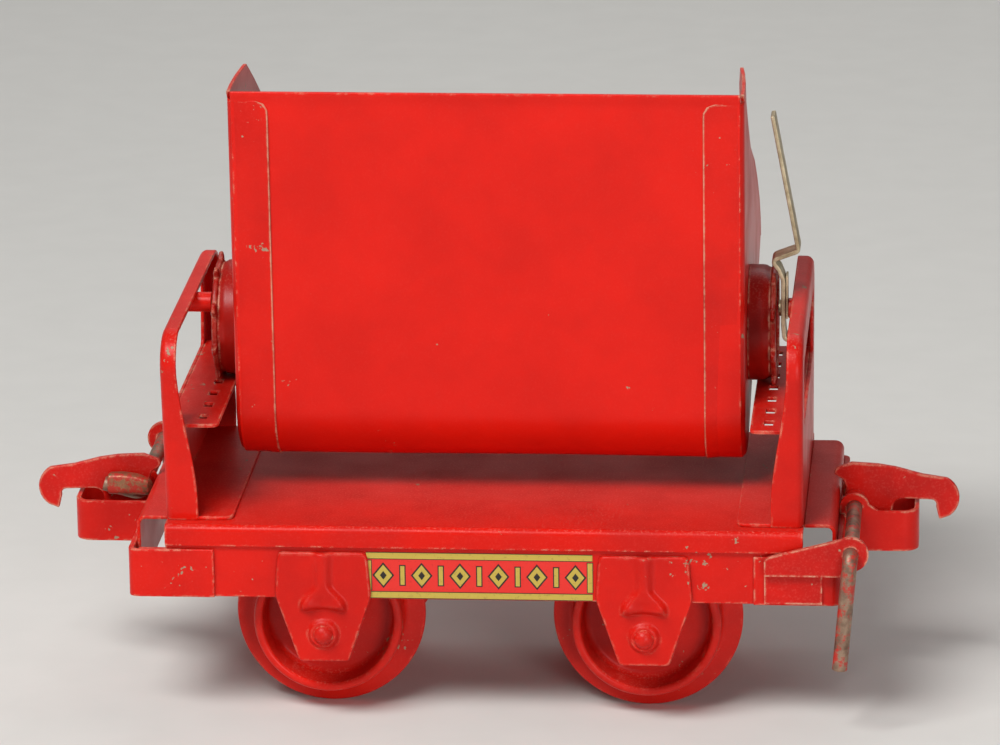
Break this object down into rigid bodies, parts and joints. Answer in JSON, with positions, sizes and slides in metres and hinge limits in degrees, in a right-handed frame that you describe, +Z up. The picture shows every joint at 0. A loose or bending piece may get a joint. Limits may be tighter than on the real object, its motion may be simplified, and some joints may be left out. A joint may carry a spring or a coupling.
{
  "type": "side-dump rail cart",
  "caption": "Toy mine cart in pressed steel: a V-shaped hopper on toothed rockers rolls along racks in two end frames to tip sideways.",
  "frame": {"origin": "on the floor under the centre of the car, midway between the axles and the wheels", "axes": "+X along the track towards the end that carries the latch, +Y across the car towards the side the hopper is tipped to at rest, +Z up"},
  "size_m": [0.2502, 0.139, 0.1683],
  "materials": {
    "red_enamel": "bright red gloss baked enamel on pressed steel, worn to metal at bends and edges",
    "bare_steel": "dull plated steel with a tan patina, traces of red overspray",
    "gold_print": "printed gold ornament with fine black outlines on the side panel"
  },
  "bodies": {
    "chassis": {"deck": "red_enamel", "sill_front": "red_enamel", "sill_rear": "red_enamel", "end_strip_left": "red_enamel", "end_strip_right": "red_enamel", "end_shelf_left": "red_enamel", "end_shelf_right": "red_enamel", "end_frame_left": "red_enamel", "end_frame_right": "red_enamel", "rack_left": "red_enamel", "rack_right": "red_enamel", "stop_stud_left": "red_enamel", "stop_stud_right": "red_enamel", "guard_front_left": "red_enamel", "guard_front_right": "red_enamel", "guard_rear_left": "red_enamel", "guard_rear_right": "red_enamel", "pocket_left": "red_enamel", "pocket_right": "red_enamel", "bracket_left": "red_enamel", "bracket_right": "red_enamel", "latch_pin": "bare_steel", "latch_spring": "bare_steel"},
    "wheelset_left": {"axle_left": "red_enamel", "wheel_front_left": "red_enamel", "wheel_rear_left": "red_enamel"},
    "wheelset_right": {"axle_right": "red_enamel", "wheel_front_right": "red_enamel", "wheel_rear_right": "red_enamel"},
    "coupler_left": {"hook_left": "red_enamel", "sleeve_left": "red_enamel", "lift_rod_left": "bare_steel"},
    "coupler_right": {"hook_right": "red_enamel", "sleeve_right": "red_enamel", "lift_rod_right": "bare_steel"},
    "rocker_pins": {"rocker_pin_left": "bare_steel", "rocker_pin_right": "bare_steel"},
    "hopper": {"hopper_sheet": "red_enamel", "hopper_end_left": "red_enamel", "hopper_end_right": "red_enamel", "rocker_left": "red_enamel", "rocker_right": "red_enamel"},
    "latch": {"latch_lever": "bare_steel"}
  },
  "joints": [
    {"name": "wheelset_left_spin", "type": "hinge", "parent": "chassis", "child": "wheelset_left", "pos_m": [-0.0426, 0, 0.0254], "axis": [0, 1, 0], "continuous": true},
    {"name": "wheelset_right_spin", "type": "hinge", "parent": "chassis", "child": "wheelset_right", "pos_m": [0.0426, 0, 0.0254], "axis": [0, 1, 0], "continuous": true},
    {"name": "coupler_left_lift", "type": "hinge", "parent": "chassis", "child": "coupler_left", "pos_m": [-0.0971, 0, 0.0502], "axis": [0, 1, 0], "range_deg": [-3, 12]},
    {"name": "coupler_right_lift", "type": "hinge", "parent": "chassis", "child": "coupler_right", "pos_m": [0.0971, 0, 0.0502], "axis": [0, -1, 0], "range_deg": [-3, 12]},
    {"name": "hopper_roll", "type": "slide", "parent": "chassis", "child": "rocker_pins", "axis": [0, 1, 0], "range_m": [-0.0292, 0.0118]},
    {"name": "hopper_tip", "type": "hinge", "parent": "rocker_pins", "child": "hopper", "pos_m": [0, 0.00871, 0.097], "axis": [1, 0, 0], "range_deg": [-43, 107]},
    {"name": "latch_swing", "type": "hinge", "parent": "chassis", "child": "latch", "pos_m": [0.0772, 0, 0.1035], "axis": [1, 0, 0], "range_deg": [-20, 20]}
  ],
  "couplings": [
    {"joint": "hopper_roll", "follows": "hopper_tip", "m_per_rad": -0.0156}
  ]
}
